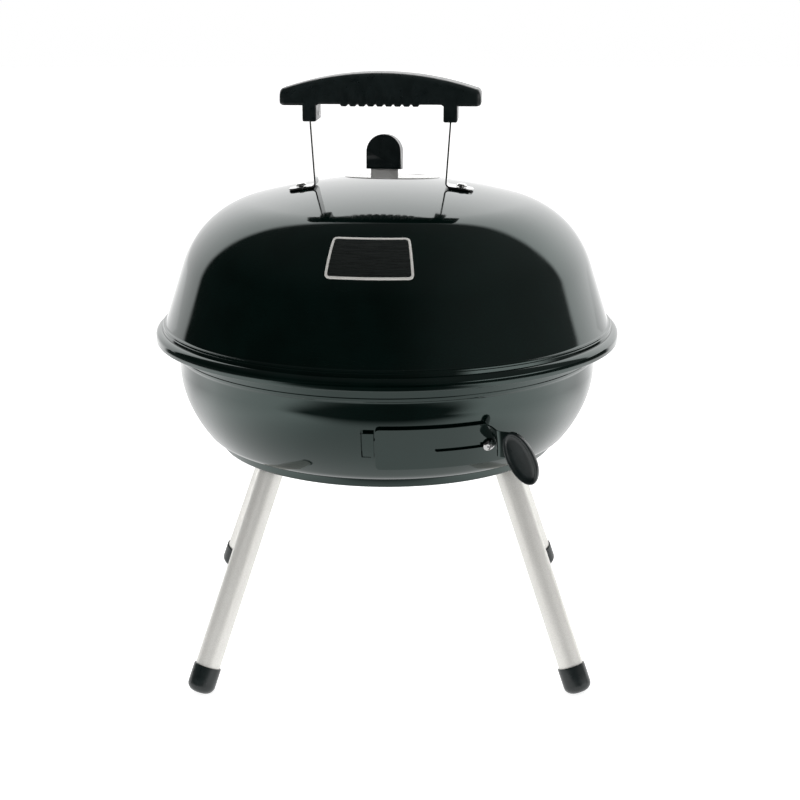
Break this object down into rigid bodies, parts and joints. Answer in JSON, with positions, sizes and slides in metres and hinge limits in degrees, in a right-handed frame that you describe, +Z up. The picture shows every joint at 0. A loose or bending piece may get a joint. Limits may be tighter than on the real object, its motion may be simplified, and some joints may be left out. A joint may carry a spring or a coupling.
{
  "type": "portable tabletop grill",
  "caption": "Small round charcoal kettle grill with a domed lid, arched grip, lid vent, sliding bowl damper and splayed tube legs with capped feet.",
  "frame": {"origin": "on the floor, under the middle of the round kettle", "axes": "+Z up, -Y towards the front with the nameplate and the bowl damper, +X to the right seen from the front"},
  "size_m": [0.368, 0.368, 0.459],
  "materials": {
    "black_enamel": "gloss black vitreous enamel",
    "silver_paint": "satin silver coating",
    "black_plastic": "moulded black plastic with a soft sheen",
    "zinc_plate": "bright zinc plate",
    "chrome_plate": "polished plated steel",
    "plated_wire": "plated wire",
    "nameplate_grey": "blank satin plate with a raised border"
  },
  "bodies": {
    "bowl": {"bowl": "black_enamel", "leg_front_left": "silver_paint", "leg_front_right": "silver_paint", "leg_rear_left": "silver_paint", "leg_rear_right": "silver_paint", "leg_cap_front_left": "black_plastic", "leg_cap_front_right": "black_plastic", "leg_cap_rear_left": "black_plastic", "leg_cap_rear_right": "black_plastic", "leg_insert_front_left": "zinc_plate", "leg_insert_front_right": "zinc_plate", "leg_insert_rear_left": "zinc_plate", "leg_insert_rear_right": "zinc_plate", "leg_washer_front_left": "zinc_plate", "leg_washer_front_right": "zinc_plate", "leg_washer_rear_left": "zinc_plate", "leg_washer_rear_right": "zinc_plate", "leg_bolt_front_left": "zinc_plate", "leg_bolt_front_right": "zinc_plate", "leg_bolt_rear_left": "zinc_plate", "leg_bolt_rear_right": "zinc_plate", "grate_clip_0": "zinc_plate", "grate_clip_1": "zinc_plate", "grate_clip_2": "zinc_plate", "grate_clip_3": "zinc_plate", "damper_keeper": "black_enamel", "damper_screw": "chrome_plate", "damper_nut": "zinc_plate"},
    "lid": {"lid": "black_enamel", "nameplate": "nameplate_grey", "strap_left": "chrome_plate", "strap_right": "chrome_plate", "grip": "black_plastic", "grip_pin_left": "zinc_plate", "grip_pin_right": "zinc_plate", "strap_screw_left": "zinc_plate", "strap_screw_right": "zinc_plate", "strap_nut_left": "zinc_plate", "strap_nut_right": "zinc_plate", "vent_rivet": "zinc_plate"},
    "lid_vent": {"vent_disc": "chrome_plate", "vent_knob": "black_plastic"},
    "bowl_damper": {"damper_slide": "black_enamel", "damper_paddle": "black_plastic"},
    "cooking_grate": {"cooking_grate": "plated_wire"},
    "charcoal_grate": {"charcoal_grate": "plated_wire"}
  },
  "joints": [
    {"name": "lid_lift", "type": "slide", "parent": "bowl", "child": "lid", "axis": [0, 0, 1], "range_m": [0, 0.25]},
    {"name": "lid_vent_turn", "type": "hinge", "parent": "lid", "child": "lid_vent", "pos_m": [0.0045, 0.036, 0.37374], "axis": [0.0104, 0.0832, 0.9965], "range_deg": [-240, 25]},
    {"name": "bowl_damper_turn", "type": "hinge", "parent": "bowl", "child": "bowl_damper", "pos_m": [0, 0, 0.2038], "axis": [0, 0, 1], "range_deg": [0, 13]},
    {"name": "cooking_grate_lift", "type": "slide", "parent": "bowl", "child": "cooking_grate", "axis": [0, 0, 1], "range_m": [0, 0.006]},
    {"name": "charcoal_grate_lift", "type": "slide", "parent": "bowl", "child": "charcoal_grate", "axis": [0, 0, 1], "range_m": [0, 0.03]}
  ]
}
